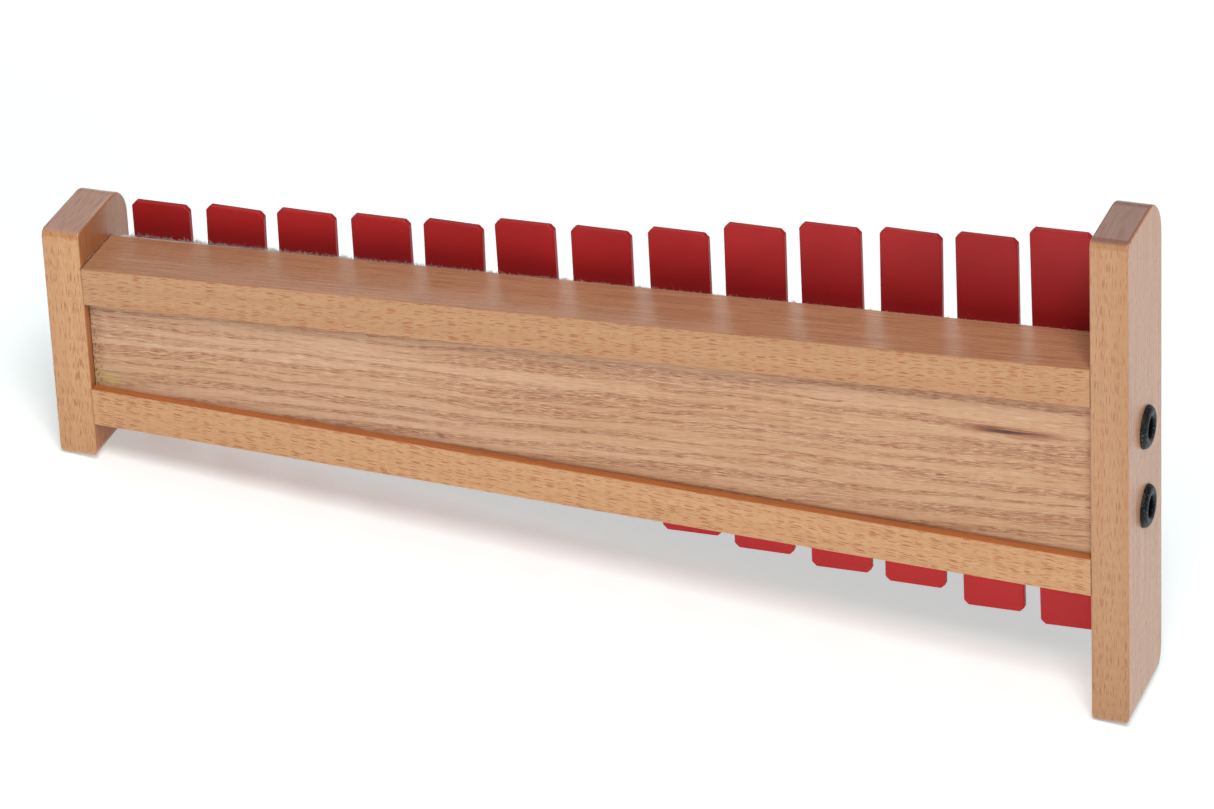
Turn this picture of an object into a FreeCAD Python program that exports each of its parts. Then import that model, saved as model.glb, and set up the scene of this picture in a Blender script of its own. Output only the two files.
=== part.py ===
"""Alto glockenspiel: thirteen red steel bars floating over a tapered beech frame.

The instrument stands on one long side, as it is put away, with its underside facing -Y and its bars
facing +Y. It is drawn lying along three design axes and then leaned until both end cheeks touch Z = 0:
    design X  runs along the instrument, from the inner face of the short cheek to the long cheek
    design Y  runs from the underside, where the cheeks rest on a table, up to the bars
    design Z  runs across the instrument, with the centre line at 0
Every bar is held by two screws. It rests on two felt strips, and can rise until it nearly meets the
flanges of the two soft sleeves under the screw heads.
"""

import math
import os

import FreeCAD
import Part
from FreeCAD import Placement, Rotation, Vector

# Sound bars, listed from the highest note to the lowest
NOTES = ["a6", "g6", "f6", "e6", "d6", "c6", "b5", "a5", "g5", "f5", "e5", "d5", "c5"]
BAR_LENGTHS = [100, 104, 109, 113, 116, 125, 127, 136, 146, 154, 158, 166, 176]
BAR_TURNS_DEG = [0.2, -1.1, -0.3, 0.4, -0.6, 1, 0.4, 0.6, 0, 0.5, -0.3, 0.4, 1]  # how crooked each hangs
BAR_DROPS = [0.6, 0.6, 0.5, 0.6, 0.4, 0.6, 0.4, 1.2, 0, -0.5, -0.4, 1.3, 0.1]  # how far off centre
BAR_SHIFTS = [0, -0.1, -0.1, 1, -0.4, 0.1, 0, 1, 0.4, 0.6, 0.8, 0.8, 0]  # how far off the even spacing
BAR_WIDTH = 25.0
BAR_THICKNESS = 3.0
BAR_PITCH = 31.6
BAR_CORNER = 1.9
BAR_CORNER_ROUND = 1.0
BAR_BEVEL = 0.35
BAR_HOLE_RADIUS = 3.1
BAR_HEADROOM = 0.9

# Beech frame
BODY_LENGTH = 419.5
SHORT_CHEEK_THICKNESS = 16.4
LONG_CHEEK_THICKNESS = 15.3
CHEEK_DEPTH = 48.5
SHORT_CHEEK_LENGTH = 103.6
LONG_CHEEK_LENGTH = 212.8
LONG_CHEEK_DROP = 0.7  # how far its middle sits below the centre line
CHEEK_TABLE_RADIUS = 4.0
SHORT_CHEEK_TOP_RADIUS = 14.0
LONG_CHEEK_TOP_RADIUS = 18.0
CHEEK_LOWER_RADIUS = 12.0
CHEEK_UPPER_END_RADIUS = 1.2
CHEEK_LOWER_END_RADIUS = 4.5
CHEEK_ARRIS = 1.0
RAIL_WIDTH = 16.4
RAIL_TOP = 31.0
RAIL_SETBACK = 0.2
RAIL_ARRIS = 0.5
SHORT_END_WIDTH = 71.4
LONG_END_WIDTH = 100.0

# Bottom panel, held in a groove in each rail
PANEL_THICKNESS = 4.0
PANEL_FACE = 4.2
PANEL_END_GAP = 0.3
GROOVE_DEPTH = 4.5
GROOVE_GAP = 0.3

# Felt, screws and sleeves
FELT_THICKNESS = 5.7
FELT_WIDTH = 9.8
FELT_END_GAP = 2.0
SCREW_RADIUS = 1.75
SCREW_DEPTH = 15.0
SCREW_POINT = 3.0
SCREW_HEAD_RADIUS = 4.3
SCREW_HEAD_HEIGHT = 2.5
SCREW_RECESS_WIDTH = 0.9
SCREW_RECESS_LENGTH = 4.2
SCREW_RECESS_DEPTH = 1.1
SLEEVE_RADIUS = 2.55
SLEEVE_FLANGE_RADIUS = 4.4
SLEEVE_FLANGE = 1.0
PART_GAP = 0.03

# Rubber grommets for the mallet sticks, in the long cheek
GROMMET_SPACING = 35.0
GROMMET_OFFSET = -3.3  # the pair sits a little below the centre line
GROMMET_LEVEL = 25.1
GROMMET_BORE_RADIUS = 3.8
GROMMET_BARREL_RADIUS = 6.0
GROMMET_LIP_RADIUS = 8.8

# Dowels between rails and cheeks
DOWEL_RADIUS = 4.0
DOWEL_LENGTH = 24.0
DOWEL_HOLE_GAP = 0.5
DOWEL_CHAMFER = 0.8
DOWEL_LEVELS = [14.0, 25.0]

ALONG = Vector(1, 0, 0)
UP_TO_BARS = Vector(0, 1, 0)
BAR_UNDERSIDE = RAIL_TOP + FELT_THICKNESS
FIRST_BAR_X = (BODY_LENGTH - BAR_PITCH * (len(NOTES) - 1)) / 2
FLANGE_UNDERSIDE = BAR_UNDERSIDE + BAR_THICKNESS + BAR_HEADROOM
SIDES = {"upper": 1, "lower": -1}


def outer_line(x):
    """Distance from the centre line to a rail's outer face."""
    return (SHORT_END_WIDTH + (LONG_END_WIDTH - SHORT_END_WIDTH) * x / BODY_LENGTH) / 2


def middle_line(x):
    """Distance from the centre line to the middle of a rail, where its screws stand."""
    return outer_line(x) - RAIL_WIDTH / 2


def bar_x(number):
    return FIRST_BAR_X + BAR_PITCH * number + BAR_SHIFTS[number]


def prism(outline, low, high):
    """A solid of a closed outline of (x, z) points, from design Y = low to high."""
    points = [Vector(x, low, z) for x, z in outline]
    face = Part.Face(Part.makePolygon(points + points[:1]))
    return face.extrude(UP_TO_BARS * (high - low))


def rod(radius, start, direction, length):
    return Part.makeCylinder(radius, length, start, direction)


def turned(profile, x, z):
    """A solid turned about the design Y direction at (x, z), from (radius, y) points."""
    points = [Vector(radius, y, 0) for radius, y in profile]
    face = Part.Face(Part.makePolygon(points + points[:1]))
    solid = face.revolve(Vector(0, 0, 0), UP_TO_BARS, 360)
    solid.translate(Vector(x, 0, z))
    return solid


def is_long_and_at(edge, level):
    """True for an edge that runs the rail's length at a design Y level."""
    box = edge.BoundBox
    return box.XLength > BODY_LENGTH / 2 and abs(box.YMin - level) < 0.01 and box.YLength < 0.01


def rail(side):
    """A tapered-in side rail: square ends against the cheeks, a groove for the panel, holes for screws."""
    low, high = RAIL_SETBACK, RAIL_TOP
    ends = [0, BODY_LENGTH]
    outline = [(x, side * outer_line(x)) for x in ends]
    outline += [(x, side * (outer_line(x) - RAIL_WIDTH)) for x in reversed(ends)]
    solid = prism(outline, low, high)
    arrises = [e for e in solid.Edges if is_long_and_at(e, low) or is_long_and_at(e, high)]
    solid = solid.makeFillet(RAIL_ARRIS, arrises)

    groove = [(x, side * (outer_line(x) - RAIL_WIDTH + GROOVE_DEPTH)) for x in ends]
    groove += [(x, side * (outer_line(x) - RAIL_WIDTH - GROOVE_DEPTH)) for x in reversed(ends)]
    solid = solid.cut(prism(groove, PANEL_FACE, PANEL_FACE + PANEL_THICKNESS))

    depth = DOWEL_LENGTH / 2 + DOWEL_HOLE_GAP
    for level in DOWEL_LEVELS:
        solid = solid.cut(rod(DOWEL_RADIUS, dowel_point(0, side, level), ALONG, depth))
        solid = solid.cut(rod(DOWEL_RADIUS, dowel_point(BODY_LENGTH, side, level), -ALONG, depth))
    for number in range(len(NOTES)):
        x = bar_x(number)
        solid = solid.cut(screw_blank(x, side * middle_line(x), PART_GAP))
    return solid


def rounded_outline(corners, to_point):
    """A closed wire through (u, v, radius) corners, listed in order, with a quarter circle at each."""
    count = len(corners)
    edges = []
    for index, (u, v, radius) in enumerate(corners):
        corner = Vector(u, v, 0)
        before = Vector(*corners[index - 1][:2], 0) - corner
        after = Vector(*corners[(index + 1) % count][:2], 0) - corner
        before.normalize()
        after.normalize()
        first, last = corner + before * radius, corner + after * radius
        middle = corner + (before + after) * radius * (1 - math.sqrt(0.5))
        edges.append(Part.Arc(to_point(first), to_point(middle), to_point(last)).toShape())
        follow_u, follow_v, follow_radius = corners[(index + 1) % count]
        start = Vector(follow_u, follow_v, 0) - after * follow_radius
        edges.append(Part.LineSegment(to_point(last), to_point(start)).toShape())
    return Part.Wire(Part.__sortEdges__(edges))


def cheek(start, thickness, bottom, top, top_radius):
    """A board across the instrument's end, from design X = start: rounded corners and softened arrises."""
    finish = start + thickness
    side_view = [
        (0, bottom, CHEEK_TABLE_RADIUS),
        (0, top, CHEEK_TABLE_RADIUS),
        (CHEEK_DEPTH, top, top_radius),
        (CHEEK_DEPTH, bottom, CHEEK_LOWER_RADIUS),
    ]
    wire = rounded_outline(side_view, lambda p: Vector(start, p.x, p.y))
    board = Part.Face(wire).extrude(ALONG * thickness)
    board = board.makeFillet(CHEEK_ARRIS, [e for e in board.Edges if e.BoundBox.XLength < 0.01])

    front_view = [
        (start, bottom, CHEEK_LOWER_END_RADIUS),
        (start, top, CHEEK_UPPER_END_RADIUS),
        (finish, top, CHEEK_UPPER_END_RADIUS),
        (finish, bottom, CHEEK_LOWER_END_RADIUS),
    ]
    wire = rounded_outline(front_view, lambda p: Vector(p.x, -1, p.y))
    return board.common(Part.Face(wire).extrude(UP_TO_BARS * (CHEEK_DEPTH + 2)))


def dowelled(board, x, outward):
    """A cheek with the blind holes for its four dowels, drilled outward from its inner face at x."""
    depth = DOWEL_LENGTH / 2 + DOWEL_HOLE_GAP
    for side in SIDES.values():
        for level in DOWEL_LEVELS:
            board = board.cut(rod(DOWEL_RADIUS, dowel_point(x, side, level), ALONG * outward, depth))
    return board


def short_cheek():
    """The cheek at the short bars."""
    half = SHORT_CHEEK_LENGTH / 2
    board = cheek(-SHORT_CHEEK_THICKNESS, SHORT_CHEEK_THICKNESS, -half, half, SHORT_CHEEK_TOP_RADIUS)
    return dowelled(board, 0, -1)


def dowel_point(x, side, level):
    """Where a dowel crosses the joint between a rail and the cheek at x."""
    return Vector(x, level, side * middle_line(x))


def dowels(x):
    """The four dowels of one cheek."""
    made = []
    for side in SIDES.values():
        for level in DOWEL_LEVELS:
            start = dowel_point(x, side, level) - ALONG * (DOWEL_LENGTH / 2)
            pin = rod(DOWEL_RADIUS, start, ALONG, DOWEL_LENGTH)
            rims = [e for e in pin.Edges if e.BoundBox.XLength < 0.01]
            made.append(pin.makeChamfer(DOWEL_CHAMFER, rims))
    return Part.makeCompound(made)


def grommet_point(x, side):
    return Vector(x, GROMMET_LEVEL, GROMMET_OFFSET + side * GROMMET_SPACING / 2)


def long_cheek():
    """The cheek at the long bars, drilled through for the two grommets."""
    bottom = -LONG_CHEEK_LENGTH / 2 - LONG_CHEEK_DROP
    top = bottom + LONG_CHEEK_LENGTH
    board = cheek(BODY_LENGTH, LONG_CHEEK_THICKNESS, bottom, top, LONG_CHEEK_TOP_RADIUS)
    for side in SIDES.values():
        start = grommet_point(BODY_LENGTH, side)
        board = board.cut(rod(GROMMET_BARREL_RADIUS, start, ALONG, LONG_CHEEK_THICKNESS))
    return dowelled(board, BODY_LENGTH, 1)


def grommet(side):
    """A soft bush through the cheek, with a half-round lip on the outside and an open bore."""
    start = grommet_point(BODY_LENGTH, side)
    mouth = grommet_point(BODY_LENGTH + LONG_CHEEK_THICKNESS, side)
    lip_radius = (GROMMET_LIP_RADIUS - GROMMET_BORE_RADIUS) / 2
    ring = Part.makeTorus(GROMMET_BORE_RADIUS + lip_radius, lip_radius, mouth, ALONG)
    lip = ring.common(rod(GROMMET_LIP_RADIUS, mouth, ALONG, lip_radius + 1))
    barrel = rod(GROMMET_BARREL_RADIUS, start, ALONG, LONG_CHEEK_THICKNESS)
    return barrel.cut(rod(GROMMET_BORE_RADIUS, start, ALONG, LONG_CHEEK_THICKNESS)).fuse(lip)


def panel():
    """The bottom board: it fills the taper between the rails and runs into their grooves."""
    ends = [PANEL_END_GAP, BODY_LENGTH - PANEL_END_GAP]
    reach = GROOVE_DEPTH - GROOVE_GAP - RAIL_WIDTH
    outline = [(x, outer_line(x) + reach) for x in ends]
    outline += [(x, -outer_line(x) - reach) for x in reversed(ends)]
    return prism(outline, PANEL_FACE, PANEL_FACE + PANEL_THICKNESS)


def felt(side):
    """A felt strip glued along the middle of a rail, pierced by the screws."""
    ends = [FELT_END_GAP, BODY_LENGTH - FELT_END_GAP]
    outline = [(x, side * (middle_line(x) + FELT_WIDTH / 2)) for x in ends]
    outline += [(x, side * (middle_line(x) - FELT_WIDTH / 2)) for x in reversed(ends)]
    strip = prism(outline, RAIL_TOP, BAR_UNDERSIDE)
    for number in range(len(NOTES)):
        x = bar_x(number)
        start = Vector(x, RAIL_TOP, side * middle_line(x))
        strip = strip.cut(rod(SCREW_RADIUS + PART_GAP, start, UP_TO_BARS, FELT_THICKNESS))
    return strip


def screw_blank(x, z, growth=0.0):
    """The shank of a bar screw, from its point to the underside of its head."""
    radius = SCREW_RADIUS + growth
    tip = RAIL_TOP - SCREW_DEPTH
    head = FLANGE_UNDERSIDE + SLEEVE_FLANGE
    return turned([(0, tip), (radius, tip + SCREW_POINT), (radius, head), (0, head)], x, z)


def screw(x, z):
    """A round-head wood screw with a slot in its head."""
    seat = FLANGE_UNDERSIDE + SLEEVE_FLANGE
    dome_radius = (SCREW_HEAD_RADIUS**2 + SCREW_HEAD_HEIGHT**2) / (2 * SCREW_HEAD_HEIGHT)
    dome = Part.makeSphere(dome_radius, Vector(x, seat + SCREW_HEAD_HEIGHT - dome_radius, z))
    head = dome.common(rod(SCREW_HEAD_RADIUS + 1, Vector(x, seat, z), UP_TO_BARS, dome_radius))
    slot_floor = seat + SCREW_HEAD_HEIGHT - SCREW_RECESS_DEPTH
    slot = Part.makeBox(
        2 * SCREW_HEAD_RADIUS, SCREW_HEAD_HEIGHT, SCREW_RECESS_WIDTH,
        Vector(x - SCREW_HEAD_RADIUS, slot_floor, z - SCREW_RECESS_WIDTH / 2),
    )
    return head.cut(slot).fuse(screw_blank(x, z))


def sleeve(x, z):
    """A soft flanged sleeve: it lines the bar's hole and its flange cushions the screw head."""
    bore = SCREW_RADIUS + PART_GAP
    top = FLANGE_UNDERSIDE + SLEEVE_FLANGE
    return turned([
        (bore, BAR_UNDERSIDE),
        (SLEEVE_RADIUS, BAR_UNDERSIDE),
        (SLEEVE_RADIUS, FLANGE_UNDERSIDE),
        (SLEEVE_FLANGE_RADIUS, FLANGE_UNDERSIDE),
        (SLEEVE_FLANGE_RADIUS, top),
        (bore, top),
    ], x, z)


def row_of(make, side):
    """One fitting at every bar, along one rail."""
    return Part.makeCompound([make(bar_x(n), side * middle_line(bar_x(n))) for n in range(len(NOTES))])


def bar(number):
    """A flat bar with clipped, rounded corners, bevelled arrises and a hole for each of its two screws."""
    x = bar_x(number)
    across, along, clip = BAR_WIDTH / 2, BAR_LENGTHS[number] / 2, BAR_CORNER
    quarter = [(across, along - clip), (across - clip, along)]
    outline = quarter + [(-a, b) for a, b in reversed(quarter)]
    outline += [(-a, -b) for a, b in quarter] + [(a, -b) for a, b in reversed(quarter)]
    plate = prism(outline, BAR_UNDERSIDE, BAR_UNDERSIDE + BAR_THICKNESS)
    plate = plate.makeFillet(BAR_CORNER_ROUND, [e for e in plate.Edges if e.BoundBox.YLength > 1])
    plate = plate.makeChamfer(BAR_BEVEL, [e for e in plate.Edges if e.BoundBox.YLength < 0.01])
    plate.rotate(Vector(0, 0, 0), UP_TO_BARS, -BAR_TURNS_DEG[number])
    plate.translate(Vector(x, 0, -BAR_DROPS[number]))
    for side in SIDES.values():
        start = Vector(x, BAR_UNDERSIDE, side * middle_line(x))
        plate = plate.cut(rod(BAR_HOLE_RADIUS, start, UP_TO_BARS, BAR_THICKNESS))
    return plate


def all_parts():
    """Every piece in the design axes, by node name."""
    parts = {
        "short_cheek": short_cheek(),
        "long_cheek": long_cheek(),
        "bottom_panel": panel(),
        "dowels_short_end": dowels(0),
        "dowels_long_end": dowels(BODY_LENGTH),
    }
    for name, side in SIDES.items():
        parts[f"rail_{name}"] = rail(side)
        parts[f"felt_strip_{name}"] = felt(side)
        parts[f"bar_screws_{name}"] = row_of(screw, side)
        parts[f"bar_sleeves_{name}"] = row_of(sleeve, side)
        parts[f"mallet_grommet_{name}"] = grommet(side)
    for number, note in enumerate(NOTES):
        parts[f"bar_{note}"] = bar(number)
    return parts


def standing_place(parts):
    """Leans the instrument until both cheeks touch Z = 0, with the box's bottom centre at the origin."""
    rise = (LONG_CHEEK_LENGTH - SHORT_CHEEK_LENGTH) / 2 + LONG_CHEEK_DROP
    lean = Rotation(UP_TO_BARS, -math.degrees(math.atan2(rise, BODY_LENGTH + SHORT_CHEEK_THICKNESS)))
    leaned = []
    for name in ("short_cheek", "long_cheek", "mallet_grommet_upper", "mallet_grommet_lower"):
        shape = parts[name].copy()
        shape.Placement = Placement(Vector(), lean)
        leaned.append(shape.optimalBoundingBox(False, False))
    middle_x = (min(b.XMin for b in leaned) + max(b.XMax for b in leaned)) / 2
    floor = min(b.ZMin for b in leaned)
    return Placement(Vector(-middle_x, -CHEEK_DEPTH / 2, -floor), lean)


def main():
    os.makedirs("parts", exist_ok=True)
    parts = all_parts()
    place = standing_place(parts)
    for name, shape in parts.items():
        shape.Placement = place.multiply(shape.Placement)
        if not shape.isValid() or shape.Volume <= 0:
            raise ValueError(f"{name} is not a sound solid")
        shape.exportStep(f"parts/{name}.step")


main()
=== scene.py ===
"""Studio scene for the glockenspiel: camera, light, wood, lacquer, rubber and fuzzy felt."""
import math
import random

import bpy
from mathutils import Matrix, Vector, noise


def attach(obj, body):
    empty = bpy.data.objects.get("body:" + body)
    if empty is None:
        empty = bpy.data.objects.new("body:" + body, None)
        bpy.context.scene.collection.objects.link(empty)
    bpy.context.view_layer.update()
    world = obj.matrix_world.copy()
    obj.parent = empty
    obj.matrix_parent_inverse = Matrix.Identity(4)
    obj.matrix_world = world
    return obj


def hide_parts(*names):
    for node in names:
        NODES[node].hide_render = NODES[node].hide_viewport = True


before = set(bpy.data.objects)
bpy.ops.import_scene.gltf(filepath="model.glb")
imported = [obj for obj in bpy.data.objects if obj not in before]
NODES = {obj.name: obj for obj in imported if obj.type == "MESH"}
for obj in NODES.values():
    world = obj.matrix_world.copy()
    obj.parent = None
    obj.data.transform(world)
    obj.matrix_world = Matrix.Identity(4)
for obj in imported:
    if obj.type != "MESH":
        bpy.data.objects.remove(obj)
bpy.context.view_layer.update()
MM = 0.001

# The instrument's own axes: X along it from the short cheek's inner face, Y from the underside to the
# bars, Z across it from the centre line. The frame leans about Y and is shifted.
LEAN = math.radians(-7.2301)
ORIGIN = Vector((-0.21082, -0.02425, 0.05292))
TURN = Matrix.Rotation(LEAN, 3, "Y")

# Rails, bars and grommets, as in the CAD model
BODY_LENGTH = 0.4195
SHORT_END_WIDTH = 0.0714
LONG_END_WIDTH = 0.1000
RAIL_SLOPE = (LONG_END_WIDTH - SHORT_END_WIDTH) / (2 * BODY_LENGTH)  # how fast each rail runs outwards
RAIL_WIDTH = 0.0164
RAIL_TOP = 0.0310
BAR_WIDTH = 0.025
BAR_UNDERSIDE = 0.0367
BAR_PITCH = 0.0316
FIRST_BAR_X = (BODY_LENGTH - 12 * BAR_PITCH) / 2
GROMMET_LEVEL = 0.0251
GROMMET_BORE = 0.0038
GROMMET_CENTRES = (0.0142, -0.0208)

# The felt strips' matted bodies, a little narrower than the CAD strips
FELT_WIDTH = 0.0096
FELT_THICKNESS = 0.0057
FELT_END_GAP = 0.002
FELT_DRIFT = 0.0013  # how far the felt runs towards the rail's outer face at the short end
FELT_SWELL = 0.3 * MM  # how much wider it stands between the bars
FELT_RISE = 0.7 * MM  # how much higher it stands between the bars
FELT_SINK = 0.12 * MM  # how far it is pressed down under a bar
FELT_EASE = 3 * MM  # how far from a bar's edge it stands free
FELT_ROUNDNESS = 0.4  # 1 is a round section, and smaller values are more like a block
FELT_STEP = 0.0013
FELT_RING = 26
MATTING = ((600, 0.16), (1700, 0.10))  # lumps in each metre, and their height in millimetres
MATTING_SINK = 0.10

# The felt's loose fibres
FIBRES = 7000
FIBRE_ANGLES = (0.2, 0.5, 0.7, 0.8, 1.0, 2.5)  # where they root around the section, in radians
FIBRE_JOINTS = 4
FIBRE_RADIUS = 0.00007
FIBRE_TAPER = 0.75
FIBRE_ROOT = 0.15 * MM
FIBRE_SPREAD = 0.9
FIBRE_BEND = 0.7

# The bottom panel's grain and its mineral streak
GRAIN_SLOPE = 0.034
STREAK_X = 0.387
STREAK_LEVEL = 0.0035

# Tints, each channel from 0 to 255 as a screen shows it
BEECH = {
    "front": (205, 154, 107),
    "end": (154, 106, 88),
    "row": (138, 84, 56),
    "line": (134, 80, 54),
    "streak": (172, 108, 64),
    "fibre": (160, 98, 58),
    "bold_fleck": (164, 84, 40),
    "faint_fleck": (172, 98, 54),
    "side_fleck": (140, 82, 50),
    "ring": (118, 76, 62),
    "joint": (74, 42, 26),
    "glue": (226, 208, 194),
}
BEECH_SHADE = (0.97, 0.955, 0.93)  # a dark band of the front faces, as a share of their tint
VENEER = {
    "pale": (207, 166, 134),
    "tan": (198, 155, 119),
    "warm": (190, 146, 104),
    "ring": (188, 134, 102),
    "line": (184, 126, 92),
    # Painted sheen: light dashes along the grain.
    "painted_sheen": (222, 186, 154),
    "dark_dash": (160, 98, 66),
    "pore": (164, 102, 70),
    "open_pore": (150, 84, 52),
    "upper_edge": (164, 106, 78),
    "lower_edge": (120, 72, 44),
    "streak": (152, 84, 54),
    "streak_core": (58, 38, 34),
    "glue": (188, 164, 92),
    "grime": (84, 62, 48),
}
LACQUER = {
    "red": (180, 30, 33),
    "cloud": (169, 25, 28),
    "dust": (196, 70, 70),
    # The next two tints: painted shade past the upper rail and painted light on the bar ends past the
    # lower rail.
    "painted_shade": (118, 15, 19),
    "painted_light": (216, 46, 50),
}
# The bore's near black is painted shade, and the white specks are painted glints.
RUBBER = {"bore": (4, 4, 5), "lip": (26, 27, 30), "painted_glint": (120, 122, 128)}
SLEEVE = ((214, 208, 192), (232, 228, 216))
NICKEL = ((196, 190, 180), (214, 210, 202))
FELT = ((206, 192, 180), (236, 228, 218))

# Camera
CAMERA_AZIMUTH = 16.783
CAMERA_ELEVATION = 31.208
CAMERA_ROLL = 5.287
CAMERA_DISTANCE = 2.6432
CAMERA_AIM = Vector((0.0021, 0.0, 0.07198))
LENS_MM = 197.3
SENSOR_MM = 36.0

# Light
FLOOR_SIZE = 60.0
FLOOR_PAPER = ((0.85, 0.87, 0.87), (0.87, 0.89, 0.89))
FLOOR_GLOW = 0.375
FRONT_FLOOR_GLOW = 0.75
FRONT_FLOOR = (-0.03, -0.12)  # the floor's glow rises between these two places on Y
NEAR_FLOOR = (0.5, 0.1)  # and takes on its cool tint between these two distances along Y
FAR_TINT = (1.0, 1.0, 1.0)
NEAR_TINT = (0.86, 1.0, 1.0)  # cancels the red light that the bars throw on the floor
FRONT_GLOW = 0.16
ZENITH_GLOW = 0.32
# Each lamp: power in watts, width and height in metres, azimuth from the front towards +X, elevation,
# distance in metres
LAMPS = {
    "key": (100.0, 1.5, 1.5, 18.0, 58.5, 4.0),
    "backdrop": (4.0, 1.3, 0.75, 196.8, 31.0, 2.6),
}


def to_row(x, y, z):
    """A place in the instrument's own axes, in metres, as a place in the frame's axes."""
    return TURN @ Vector((x, y, z)) + ORIGIN


def srgb(red, green, blue):
    """A linear colour from the 0 to 255 values that a screen shows."""
    def linear(value):
        value /= 255
        return value / 12.92 if value <= 0.04045 else ((value + 0.055) / 1.055) ** 2.4
    return (linear(red), linear(green), linear(blue))


class Shader:
    """A small helper that adds and links the nodes of one material, or of the world."""

    def __init__(self, name, world=None):
        if world is None:
            self.material = bpy.data.materials.new(name)
            self.material.use_nodes = True
            self.tree = self.material.node_tree
            self.surface = self.tree.nodes["Principled BSDF"]
        else:
            world.use_nodes = True
            self.tree = world.node_tree
            self.surface = self.tree.nodes["Background"]

    def put(self, value, socket):
        """Sets a socket to a plain value, or links a node's output to it."""
        if isinstance(value, bpy.types.NodeSocket):
            self.tree.links.new(value, socket)
        elif isinstance(value, (tuple, list)) and socket.type == "RGBA":
            socket.default_value = (*value[:3], 1.0)
        else:
            socket.default_value = value

    def set(self, **values):
        """Sets the surface shader's sockets: Base_Color=... is the socket "Base Color"."""
        for name, value in values.items():
            self.put(value, self.surface.inputs[name.replace("_", " ")])

    def node(self, kind, inputs=None, **settings):
        made = self.tree.nodes.new("ShaderNode" + kind)
        for name, value in settings.items():
            setattr(made, name, value)
        for name, value in (inputs or {}).items():
            self.put(value, made.inputs[name])
        return made

    def math(self, operation, a, b=0.0):
        made = self.node("Math", operation=operation)
        self.put(a, made.inputs[0])
        self.put(b, made.inputs[1])
        return made.outputs[0]

    def plus(self, a, b):
        return self.math("ADD", a, b)

    def minus(self, a, b):
        return self.math("SUBTRACT", a, b)

    def times(self, *values):
        product = values[0]
        for value in values[1:]:
            product = self.math("MULTIPLY", product, value)
        return product

    def away_from(self, value, middle):
        """How far a value is from a middle, on either side."""
        return self.math("ABSOLUTE", self.minus(value, middle))

    def between(self, value, low, high, to_low=0.0, to_high=1.0):
        """Maps value from the range low to high onto another range, with smooth ends."""
        inputs = {"Value": value, "From Min": low, "From Max": high, "To Min": to_low, "To Max": to_high}
        return self.node("MapRange", inputs, interpolation_type="SMOOTHSTEP").outputs["Result"]

    def mix(self, factor, a, b):
        made = self.node("Mix", data_type="RGBA")
        self.put(factor, made.inputs["Factor"])
        self.put(a, made.inputs[6])
        self.put(b, made.inputs[7])
        return made.outputs[2]

    def stain(self, amount, colour, tint):
        """Lays a tint over a colour, as strongly as the product of the amounts."""
        return self.mix(self.times(*amount), colour, srgb(*tint))

    def place(self):
        """Coordinates in the instrument's own axes, in metres."""
        where = self.node("TexCoord").outputs["Object"]
        inputs = {"Vector": where, "Location": tuple(ORIGIN), "Rotation": (0.0, LEAN, 0.0)}
        return self.node("Mapping", inputs, vector_type="TEXTURE").outputs["Vector"]

    def axes(self, vector):
        """A vector's three parts, by the names X, Y and Z."""
        return self.node("SeparateXYZ", {"Vector": vector}).outputs

    def join(self, x, y, z=0.0):
        return self.node("CombineXYZ", {"X": x, "Y": y, "Z": z}).outputs["Vector"]

    def sized(self, vector, *size):
        """Counts a vector in units of size, given in millimetres."""
        made = self.node("VectorMath", operation="DIVIDE")
        self.put(vector, made.inputs[0])
        self.put(tuple(s * MM for s in size), made.inputs[1])
        return made.outputs["Vector"]

    def facing(self, axis):
        """How squarely the surface faces along one of the instrument's own axes, from 0 to 1."""
        normal = self.node("TexCoord").outputs["Normal"]
        made = self.node("VectorMath", operation="DOT_PRODUCT")
        self.put(normal, made.inputs[0])
        self.put(tuple(TURN @ Vector(axis)), made.inputs[1])
        return self.math("ABSOLUTE", made.outputs["Value"])

    def distance(self, here, level, centre):
        """How far a place is from the line that runs lengthwise at a level and a centre."""
        offset = self.join(0.0, self.minus(here["Y"], level), self.minus(here["Z"], centre))
        return self.node("VectorMath", {"Vector": offset}, operation="LENGTH").outputs["Value"]

    def noise(self, vector, detail=3.0, roughness=0.55, distortion=0.0):
        inputs = {"Vector": vector, "Scale": 1.0, "Detail": detail, "Roughness": roughness,
                  "Distortion": distortion}
        return self.node("TexNoise", inputs).outputs["Fac"]

    def cells(self, vector):
        """Flat scattered cells: each has a random colour, and distances from its middle."""
        return self.node("TexVoronoi", {"Vector": vector, "Scale": 1.0}, voronoi_dimensions="2D").outputs

    def bump(self, height, distance):
        made = self.node("Bump", {"Height": height, "Distance": distance, "Strength": 1.0})
        self.put(made.outputs["Normal"], self.surface.inputs["Normal"])


def flecks(m, grain, length, width, most):
    """Short dashes along the grain, from 0 to 1: cells of length by width, filled to a radius of most."""
    cell = m.cells(m.sized(grain, length, width, 1))
    chance = m.axes(cell["Color"])
    size = m.between(chance["X"], 0.05, 1.0, 0.08, most)
    shape = m.between(m.minus(size, cell["Distance"]), 0.0, 0.1)
    return m.times(shape, m.between(chance["Y"], 0.05, 0.7))


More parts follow.
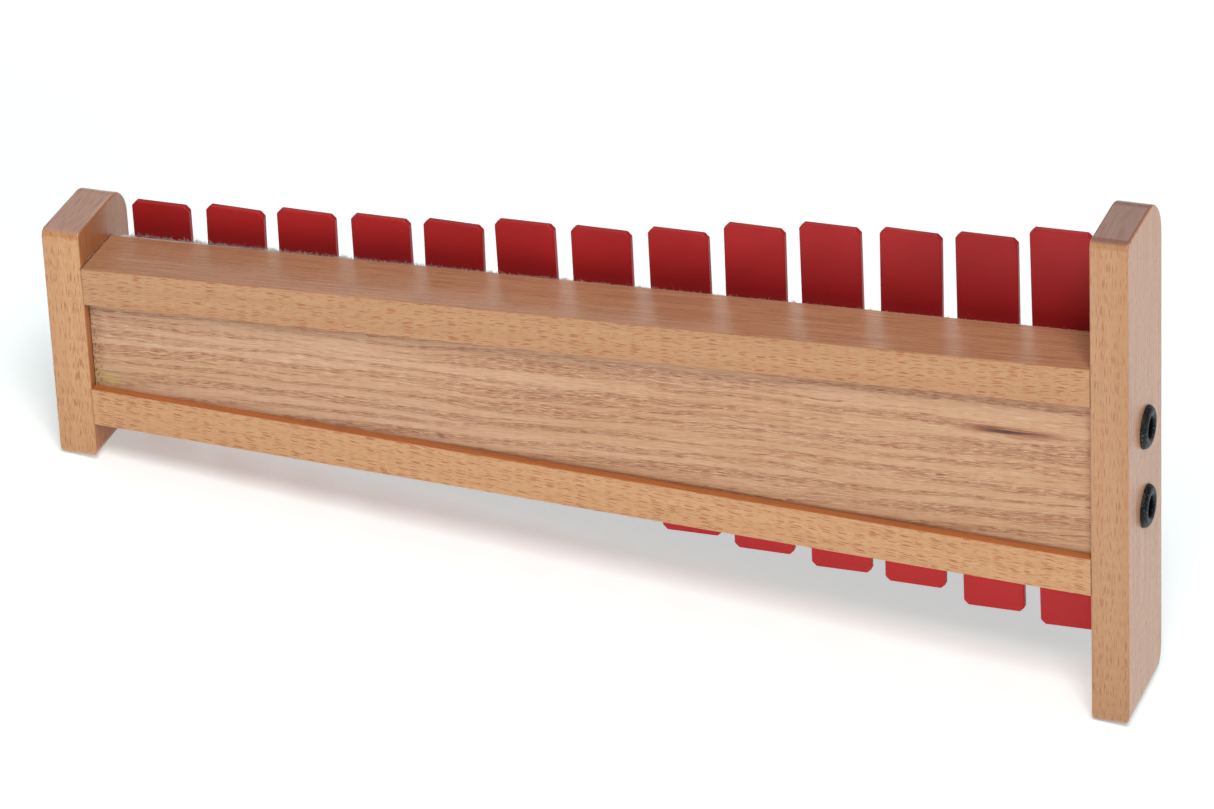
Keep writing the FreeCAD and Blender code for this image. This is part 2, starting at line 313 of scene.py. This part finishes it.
def beech(name, along, seed, side_tint, front_tint=BEECH["front"], end_tint=BEECH["end"], slope=0.0,
          flecked=1.0, glued=False):
    """Satin-lacquered beech, with its grain along X or Z: flecked in front, streaked on its sides."""
    m = Shader(name)
    here = m.axes(m.place())
    run, width, end = ("X", "Z", (1, 0, 0)) if along == "X" else ("Z", "X", (0, 0, 1))
    across = m.minus(m.plus(here[width], here["Y"]), m.times(here[run], slope))
    grain = m.join(here[run], across, seed * MM)
    end_face = m.between(m.facing(end), 0.55, 0.9)
    flat_face = m.between(m.facing((0, 1, 0)), 0.45, 0.8)
    long_grain = m.minus(1.0, end_face)
    side_face = m.times(m.minus(1.0, flat_face), long_grain)
    marks = m.times(flat_face, long_grain, flecked)

    bands = m.noise(m.sized(grain, 210, 4.2, 1), detail=3.0, distortion=0.5)
    streaks = m.noise(m.sized(grain, 26, 0.75, 1), detail=4.0, roughness=0.62)
    fibres = m.noise(m.sized(grain, 5.5, 0.21, 1), detail=3.0, roughness=0.6)
    rings = m.noise(m.sized(m.join(here[width], here["Y"]), 1.1, 16, 1), detail=3.0, roughness=0.6)
    bold = flecks(m, grain, 6.4, 0.5, 0.4)
    faint = flecks(m, m.join(here[run], m.plus(across, 0.5)), 4.2, 0.4, 0.4)

    dark_tint = [share * channel for share, channel in zip(BEECH_SHADE, front_tint)]
    colour = m.mix(m.between(bands, 0.35, 0.65), srgb(*front_tint), srgb(*dark_tint))
    colour = side_streaks(m, m.stain([side_face, 0.9], colour, side_tint), grain, side_face)
    colour = m.stain([m.between(streaks, 0.48, 0.72), 0.42], colour, BEECH["streak"])
    colour = m.stain([m.between(fibres, 0.45, 0.8), 0.34], colour, BEECH["fibre"])
    colour = m.stain([bold, marks, 0.95], colour, BEECH["bold_fleck"])
    colour = m.stain([faint, marks, 0.6], colour, BEECH["faint_fleck"])
    colour = m.stain([bold, side_face, 0.2], colour, BEECH["side_fleck"])
    colour = m.stain([end_face, 0.85], colour, end_tint)
    colour = m.stain([end_face, m.between(rings, 0.45, 0.7), 0.4], colour, BEECH["ring"])
    if glued:
        colour = glue_line(m, colour, here, long_grain)

    relief = m.plus(m.times(fibres, long_grain), m.times(rings, end_face))
    m.bump(m.minus(m.times(relief, 0.4), m.times(bold, marks, 0.7)), 0.00005)
    m.set(Base_Color=colour, Roughness=m.between(relief, 0.2, 0.8, 0.24, 0.34), Specular_IOR_Level=0.5)
    return m.material


def side_streaks(m, colour, grain, side_face):
    """Long soft rows and short fine lines along the grain, on a board's side faces."""
    rows = m.noise(m.sized(grain, 70, 0.9, 1), detail=2.0, roughness=0.5)
    lines = m.noise(m.sized(grain, 14, 0.32, 1), detail=2.0)
    colour = m.stain([m.between(rows, 0.46, 0.6), side_face, 0.34], colour, BEECH["row"])
    return m.stain([m.between(lines, 0.52, 0.62), side_face, 0.4], colour, BEECH["line"])


def glue_line(m, colour, here, long_grain):
    """The short cheek's joint with the upper rail: a dark gap and a few pale chips of glue."""
    height = m.away_from(here["Z"], SHORT_END_WIDTH / 2)
    inside = m.times(m.between(here["X"], -0.001, 0.0), long_grain,
                     m.between(here["Y"], RAIL_TOP, RAIL_TOP - 0.001))
    chips = m.noise(m.sized(m.join(here["Y"], here["Z"]), 3.0, 1.2, 1), detail=3.0, roughness=0.7)
    pale = m.times(m.between(height, 0.0022, 0.0010), m.between(chips, 0.56, 0.62))
    colour = m.stain([inside, m.between(height, 0.0009, 0.0003), 0.8], colour, BEECH["joint"])
    return m.stain([inside, pale, 0.8], colour, BEECH["glue"])


def veneer():
    """The bottom panel's veneer: bands of open pores, light dashes of painted sheen, a mineral streak,
    painted shade along the rails and marks at its short end.
    """
    m = Shader("panel_veneer")
    here = m.axes(m.place())
    x, z = here["X"], here["Z"]
    level = wavy_level(m, x, z)
    grain = m.join(x, level)
    rings = m.noise(m.sized(grain, 150, 3.3, 1), detail=3.0, roughness=0.6)
    ring = m.between(rings, 0.40, 0.62)
    tone = m.noise(m.sized(grain, 170, 15, 1), detail=2.0)
    pores = m.noise(m.sized(grain, 5.5, 0.24, 1), detail=1.0)
    dashes = m.noise(m.sized(grain, 11.0, 0.36, 1), detail=2.0, roughness=0.5)
    lines = m.noise(m.sized(grain, 30, 0.9, 1), detail=3.0, roughness=0.6)
    pore = m.times(m.between(pores, 0.50, 0.57), m.between(ring, 0.0, 1.0, 0.2, 1.0))
    dark_dash = m.times(m.between(dashes, 0.54, 0.60), m.between(ring, 0.0, 1.0, 0.3, 1.0))
    open_pore = m.times(flecks(m, grain, 5.6, 0.38, 0.44), m.between(ring, 0.0, 1.0, 0.25, 1.0))

    colour = m.mix(m.between(tone, 0.35, 0.65), srgb(*VENEER["pale"]), srgb(*VENEER["tan"]))
    colour = m.stain([m.between(x, 0.10, 0.38), 0.35], colour, VENEER["warm"])
    colour = m.stain([ring, 0.2], colour, VENEER["ring"])
    colour = m.stain([m.between(lines, 0.5, 0.68), 0.3], colour, VENEER["line"])
    # Painted sheen: light dashes along the grain, from the same noise as the dark dashes.
    colour = m.stain([m.between(dashes, 0.46, 0.36), 0.4], colour, VENEER["painted_sheen"])
    colour = m.stain([pore, 0.62], colour, VENEER["pore"])
    colour = m.stain([dark_dash, 0.4], colour, VENEER["dark_dash"])
    colour = m.stain([open_pore, 0.9], colour, VENEER["open_pore"])
    colour = rail_shadows(m, colour, x, z, lines)
    colour = mineral_streak(m, colour, x, level, lines)
    colour = short_end_marks(m, colour, x, z)
    m.bump(m.times(pore, -1.0), 0.00008)
    m.set(Base_Color=colour, Roughness=0.5, Specular_IOR_Level=0.4)
    return m.material


def wavy_level(m, x, z):
    """How far across the panel's grain a place is, with long waves and a fine ripple in it."""
    waves = m.noise(m.sized(m.join(x, z), 120, 24, 1), detail=2.0)
    ripple = m.noise(m.sized(m.join(x, z), 20, 5, 1), detail=2.0)
    level = m.minus(z, m.times(x, GRAIN_SLOPE))
    level = m.plus(level, m.times(m.minus(waves, 0.5), 0.008))
    return m.plus(level, m.times(m.minus(ripple, 0.5), 0.0012))


def rail_shadows(m, colour, x, z, lines):
    """Painted shade on the panel by the rails: a dark band, its edge broken by grain lines, along the
    upper rail and a dark line along the lower one.
    """
    upper_edge = m.minus(z, m.times(x, RAIL_SLOPE))
    lower_edge = m.plus(z, m.times(x, RAIL_SLOPE))
    # Painted shade: a dark band next to the upper rail and a dark line next to the lower rail.
    band = m.between(m.plus(upper_edge, m.times(lines, 0.003)), 0.0165, 0.0195)
    lower_shade = m.between(lower_edge, -0.0178, -0.0190)
    colour = m.stain([band, 0.3], colour, VENEER["upper_edge"])
    return m.stain([lower_shade, m.between(x, 0.05, 0.2), 0.55], colour, VENEER["lower_edge"])


def mineral_streak(m, colour, x, level, lines):
    """A streak near the long end: a thin brown lens along the grain, with a dark broken core."""
    along = m.away_from(x, STREAK_X)
    across = m.plus(m.away_from(level, STREAK_LEVEL), m.times(m.minus(lines, 0.5), 0.006))
    brown = m.times(m.between(along, 0.030, 0.008), m.between(across, 0.0030, 0.0006))
    core = m.times(m.between(along, 0.022, 0.002), m.between(across, 0.0011, 0.0001))
    colour = m.stain([brown, 0.7], colour, VENEER["streak"])
    return m.stain([core, 0.9], colour, VENEER["streak_core"])


def short_end_marks(m, colour, x, z):
    """A stain of glue in the lower corner at the short end, and grime along that edge."""
    blot = m.noise(m.sized(m.join(x, z), 9, 6, 1), detail=3.0)
    grime = m.noise(m.sized(m.join(x, z), 1.1, 1.6, 1), detail=3.0, roughness=0.7)
    glue = m.times(m.between(x, 0.016, 0.004), m.between(z, -0.008, -0.017), m.between(blot, 0.3, 0.6))
    specks = m.times(m.between(x, 0.006, 0.001), m.between(grime, 0.48, 0.62))
    colour = m.stain([glue, 0.8], colour, VENEER["glue"])
    return m.stain([specks, 0.7], colour, VENEER["grime"])


def red_lacquer():
    """Baked red lacquer with a fine peel, slight clouds, some dust, and painted shade and light
    underneath.
    """
    m = Shader("red_lacquer")
    here = m.place()
    peel = m.noise(m.sized(here, 1.4, 1.4, 1.4), detail=2.0)
    clouds = m.noise(m.sized(here, 34, 34, 34), detail=2.0)
    dust = m.noise(m.sized(here, 0.45, 0.45, 0.45), detail=2.0, roughness=0.7)
    colour = m.mix(m.between(clouds, 0.3, 0.7), srgb(*LACQUER["red"]), srgb(*LACQUER["cloud"]))
    colour = m.stain([m.between(dust, 0.66, 0.78), 0.35], colour, LACQUER["dust"])
    # Painted shade on the bars' undersides past the upper rail, and painted light on their ends past the
    # lower rail.
    colour = paint_underside_light(m, colour, m.axes(here))
    m.bump(peel, 0.000008)
    m.set(Base_Color=colour, Roughness=m.between(clouds, 0.3, 0.7, 0.42, 0.48), Specular_IOR_Level=0.25)
    return m.material


def paint_underside_light(m, colour, here):
    """The bars' undersides: painted shade past the upper rail, farthest on the long bars, and painted
    light past the lower rail.
    """
    underside = m.between(here["Y"], BAR_UNDERSIDE + 0.0015, BAR_UNDERSIDE + 0.0005)
    rail_line = m.plus(m.times(here["X"], RAIL_SLOPE), SHORT_END_WIDTH / 2)
    reach = m.between(here["X"], 0.2, 0.42, 0.014, 0.075)
    above = m.between(m.minus(here["Z"], rail_line), reach, -0.004)
    below = m.between(m.plus(here["Z"], rail_line), 0.004, -0.002)
    # Painted shade past the upper rail, reaching farther on the long bars, and painted light on the ends
    # past the lower rail.
    painted_shade = m.times(above, m.between(here["Z"], 0.0, 0.02))
    colour = m.stain([painted_shade, underside, 0.52], colour, LACQUER["painted_shade"])
    return m.stain([below, underside, 0.85], colour, LACQUER["painted_light"])


def black_rubber():
    """Moulded rubber: a dusty lip, speckled with painted glints, around a bore painted near black as
    shade.
    """
    m = Shader("black_rubber")
    place = m.place()
    here = m.axes(place)
    grain = m.noise(m.sized(place, 0.5, 0.5, 0.5), detail=4.0, roughness=0.75)
    specks = m.noise(m.sized(place, 0.6, 0.6, 0.6), detail=1.0)
    upper, lower = [m.distance(here, GROMMET_LEVEL, centre) for centre in GROMMET_CENTRES]
    lip = m.between(m.math("MINIMUM", upper, lower), GROMMET_BORE + 0.0002, GROMMET_BORE + 0.0012)
    # The rubber is painted near black inside the bore, as shade.
    colour = m.stain([lip, m.between(grain, 0.4, 0.66)], srgb(*RUBBER["bore"]), RUBBER["lip"])
    # White specks on the lip: painted glints.
    colour = m.stain([lip, m.between(specks, 0.62, 0.68), 0.7], colour, RUBBER["painted_glint"])
    m.bump(grain, 0.00016)
    rough = m.between(grain, 0.3, 0.7, 0.3, 0.5)
    m.set(Base_Color=colour, Roughness=rough, Specular_IOR_Level=m.between(lip, 0.0, 1.0, 0.03, 0.2))
    return m.material


def sleeve_rubber():
    """Soft, cream-coloured rubber."""
    m = Shader("sleeve_rubber")
    grain = m.noise(m.sized(m.place(), 1.2, 1.2, 1.2), detail=3.0)
    colour = m.mix(grain, srgb(*SLEEVE[0]), srgb(*SLEEVE[1]))
    m.bump(grain, 0.00003)
    m.set(Base_Color=colour, Roughness=0.5, Subsurface_Weight=0.2, Subsurface_Scale=0.001)
    return m.material


def nickel():
    """Nickel plate with fine scuffs."""
    m = Shader("nickel_screws")
    scuffs = m.noise(m.sized(m.place(), 1.5, 0.4, 0.4), detail=4.0, roughness=0.7)
    colour = m.mix(m.between(scuffs, 0.3, 0.7), srgb(*NICKEL[0]), srgb(*NICKEL[1]))
    m.bump(scuffs, 0.00002)
    m.set(Base_Color=colour, Metallic=1.0, Roughness=m.between(scuffs, 0.3, 0.7, 0.22, 0.38))
    return m.material


def white_felt():
    """Matted felt, off-white in its tangles."""
    m = Shader("white_felt")
    tangle = m.noise(m.sized(m.place(), 0.5, 0.5, 0.5), detail=5.0, roughness=0.7, distortion=1.2)
    colour = m.mix(m.between(tangle, 0.3, 0.7), srgb(*FELT[0]), srgb(*FELT[1]))
    m.bump(tangle, 0.0004)
    m.set(Base_Color=colour, Roughness=0.95, Specular_IOR_Level=0.15, Sheen_Weight=0.4)
    return m.material


def paint_nodes():
    """Gives every visible CAD node the material whose prefix its name has: the first that fits."""
    materials = {
        "rail_upper": beech("beech_rail_upper", "X", 1, (196, 145, 112), front_tint=(190, 142, 98),
                            slope=0.05),
        # The lower rail's side faces: a deep orange tint, partly beech and partly painted bounce light
        # from the recess.
        "rail_lower": beech("beech_rail_lower", "X", 2, (184, 102, 48), slope=-0.08),
        "short_cheek": beech("beech_short_cheek", "Z", 3, (188, 118, 68), end_tint=(190, 150, 134),
                             flecked=0.85, glued=True),
        "long_cheek": beech("beech_long_cheek", "Z", 4, (216, 156, 116), front_tint=(188, 141, 100),
                            end_tint=(142, 98, 84), flecked=0.75),
        "dowels": beech("beech_dowels", "X", 5, (206, 152, 104)),
        "bottom_panel": veneer(),
        "mallet_grommet": black_rubber(),
        "bar_sleeves": sleeve_rubber(),
        "bar_screws": nickel(),
        "bar_": red_lacquer(),
    }
    for name, obj in NODES.items():
        for prefix, material in materials.items():
            if name.startswith(prefix):
                obj.data.materials.clear()
                obj.data.materials.append(material)
                break


def outer_line(x):
    """Distance from the centre line to a rail's outer face."""
    return SHORT_END_WIDTH / 2 + RAIL_SLOPE * x


def nearest_bar(x):
    """How far x is from the middle of the nearest bar."""
    number = round((x - FIRST_BAR_X) / BAR_PITCH)
    return abs(x - FIRST_BAR_X - BAR_PITCH * number)


def felt_point(x, angle, side):
    """A point on a felt strip's soft, block-like skin, with its direction outwards, in instrument axes."""
    crosswise, upward = math.cos(angle), math.sin(angle)
    free = min(1.0, max(0.0, (nearest_bar(x) - BAR_WIDTH / 2) / FELT_EASE))
    half_width = FELT_WIDTH / 2 + FELT_SWELL * free
    top = FELT_THICKNESS / 2 - FELT_SINK + FELT_RISE * free
    half_height = top if upward > 0 else FELT_THICKNESS / 2
    z = math.copysign(abs(crosswise) ** FELT_ROUNDNESS, crosswise) * half_width
    y = math.copysign(abs(upward) ** FELT_ROUNDNESS, upward) * half_height
    middle = outer_line(x) - RAIL_WIDTH / 2 + FELT_DRIFT * (1 - x / BODY_LENGTH) ** 2
    place = Vector((x, RAIL_TOP + FELT_THICKNESS / 2 + y, side * (middle + z)))
    outwards = Vector((0.0, upward**3, side * crosswise**3)).normalized()
    return place, outwards


def felt_skin(side, seed):
    """Points and faces of one strip's matted body."""
    points, faces = [], []
    length = BODY_LENGTH - 2 * FELT_END_GAP
    rings = int(length / FELT_STEP) + 1
    shift = Vector((seed, 0.0, 0.0))
    for ring in range(rings):
        x = FELT_END_GAP + length * ring / (rings - 1)
        for step in range(FELT_RING):
            place, outwards = felt_point(x, math.tau * step / FELT_RING, side)
            lump = sum(height * noise.noise(place * scale + shift) for scale, height in MATTING)
            points.append(place + outwards * (lump - MATTING_SINK) * MM)
    for ring in range(rings - 1):
        for step in range(FELT_RING):
            a, b = ring * FELT_RING + step, ring * FELT_RING + (step + 1) % FELT_RING
            faces.append((a, b, b + FELT_RING, a + FELT_RING))
    faces.append(tuple(reversed(range(FELT_RING))))
    faces.append(tuple(range((rings - 1) * FELT_RING, rings * FELT_RING)))
    return points, faces


def add_fibre(points, faces, root, outwards, length, chance):
    """Adds one curled, tapering fibre with a three-sided section."""
    spread = Vector((chance.uniform(-1, 1), chance.uniform(-0.5, 0.5), chance.uniform(-0.5, 0.5)))
    heading = (outwards + spread * FIBRE_SPREAD).normalized()
    bend = Vector((chance.uniform(-1, 1), chance.uniform(-1, 0.4), chance.uniform(-1, 1))) * FIBRE_BEND
    first = len(points)
    place = root - outwards * FIBRE_ROOT
    for joint in range(FIBRE_JOINTS):
        radius = FIBRE_RADIUS * (1 - FIBRE_TAPER * joint / (FIBRE_JOINTS - 1))
        flank = heading.orthogonal().normalized() * radius
        for corner in range(3):
            points.append(place + Matrix.Rotation(math.tau * corner / 3, 3, heading) @ flank)
        place = place + heading * length / (FIBRE_JOINTS - 1)
        heading = (heading + bend).normalized()
    for joint in range(FIBRE_JOINTS - 1):
        for corner in range(3):
            a, b = first + joint * 3 + corner, first + joint * 3 + (corner + 1) % 3
            faces.append((a, b, b + 3, a + 3))
    last = first + 3 * (FIBRE_JOINTS - 1)
    faces.append((first + 2, first + 1, first))
    faces.append((last, last + 1, last + 2))


def add_fibres(points, faces, side, chance):
    """Scatters fibres over a strip's free sides. They grow longer towards the short end."""
    for _ in range(FIBRES):
        x = chance.uniform(3 * FELT_END_GAP, BODY_LENGTH - FELT_END_GAP)
        angle = chance.choice(FIBRE_ANGLES) + chance.uniform(-0.5, 0.5)
        root, outwards = felt_point(x, angle, side)
        longest = 1.7 + 1.1 * (1 - x / BODY_LENGTH) ** 2
        length = chance.uniform(0.6, 1.2) * chance.uniform(0.7, longest) * MM
        add_fibre(points, faces, root, outwards, length, chance)


def make_felts():
    """Two fuzzy felt strips under the bars, in place of the plain CAD strips."""
    material = white_felt()
    for name, side, seed in (("upper", 1, 11), ("lower", -1, 23)):
        points, faces = felt_skin(side, seed)
        add_fibres(points, faces, side, random.Random(seed))
        mesh = bpy.data.meshes.new(f"felt_{name}")
        mesh.from_pydata([to_row(*p) for p in points], [], faces)
        mesh.materials.append(material)
        mesh.shade_smooth()
        felt = bpy.data.objects.new(f"felt_{name}", mesh)
        bpy.context.collection.objects.link(felt)
        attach(felt, "frame")
        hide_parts(f"felt_strip_{name}")


def make_floor():
    """A plain pale floor that glows softly, and more in front of the instrument."""
    bpy.ops.mesh.primitive_plane_add(size=FLOOR_SIZE, location=(0, 0, 0))
    floor = bpy.context.active_object
    floor.name = "floor"
    m = Shader("floor_paper")
    here = m.node("TexCoord").outputs["Object"]
    y = m.axes(here)["Y"]
    glow = m.between(y, *FRONT_FLOOR, FLOOR_GLOW, FRONT_FLOOR_GLOW)
    tint = m.mix(m.between(m.math("ABSOLUTE", y), *NEAR_FLOOR), FAR_TINT, NEAR_TINT)
    m.set(Base_Color=m.mix(m.noise(here, detail=2.0), *FLOOR_PAPER), Roughness=0.7)
    m.set(Emission_Color=tint, Emission_Strength=glow)
    floor.data.materials.append(m.material)


def direction_to(azimuth, elevation):
    """A unit vector from the object, with azimuth measured from the front (-Y) towards +X."""
    azimuth, elevation = math.radians(azimuth), math.radians(elevation)
    return Vector((math.sin(azimuth) * math.cos(elevation), -math.cos(azimuth) * math.cos(elevation),
                   math.sin(elevation)))


def make_world():
    """Even white light all round, stronger from overhead."""
    world = bpy.data.worlds.new("studio")
    bpy.context.scene.world = world
    m = Shader("studio", world)
    upward = m.axes(m.node("TexCoord").outputs["Generated"])["Z"]
    m.set(Color=(1.0, 1.0, 1.0), Strength=m.between(upward, 0.1, 0.8, FRONT_GLOW, ZENITH_GLOW))


def make_lamps():
    """Rectangular lamps that face the object."""
    for name, (power, width, height, azimuth, elevation, distance) in LAMPS.items():
        data = bpy.data.lights.new(name, "AREA")
        data.shape = "RECTANGLE"
        data.energy = power
        data.size = width
        data.size_y = height
        lamp = bpy.data.objects.new(name, data)
        bpy.context.collection.objects.link(lamp)
        away = direction_to(azimuth, elevation)
        lamp.location = away * distance
        lamp.rotation_mode = "QUATERNION"
        lamp.rotation_quaternion = away.to_track_quat("Z", "Y")


def make_camera():
    """A long lens from the front and above, rolled a little."""
    data = bpy.data.cameras.new("camera")
    data.lens = LENS_MM
    data.sensor_width = SENSOR_MM
    camera = bpy.data.objects.new("camera", data)
    bpy.context.collection.objects.link(camera)
    back = direction_to(CAMERA_AZIMUTH, CAMERA_ELEVATION)
    right = direction_to(CAMERA_AZIMUTH + 90.0, 0.0)
    up = back.cross(right)
    roll = math.radians(CAMERA_ROLL)
    rolled_right = right * math.cos(roll) + up * math.sin(roll)
    rolled_up = back.cross(rolled_right)
    turn = Matrix((rolled_right, rolled_up, back)).transposed()
    camera.matrix_world = Matrix.Translation(CAMERA_AIM + back * CAMERA_DISTANCE) @ turn.to_4x4()
    bpy.context.scene.camera = camera


def main():
    bpy.context.scene.view_settings.view_transform = "Standard"
    make_camera()
    make_floor()
    make_world()
    make_lamps()
    paint_nodes()
    make_felts()


main()
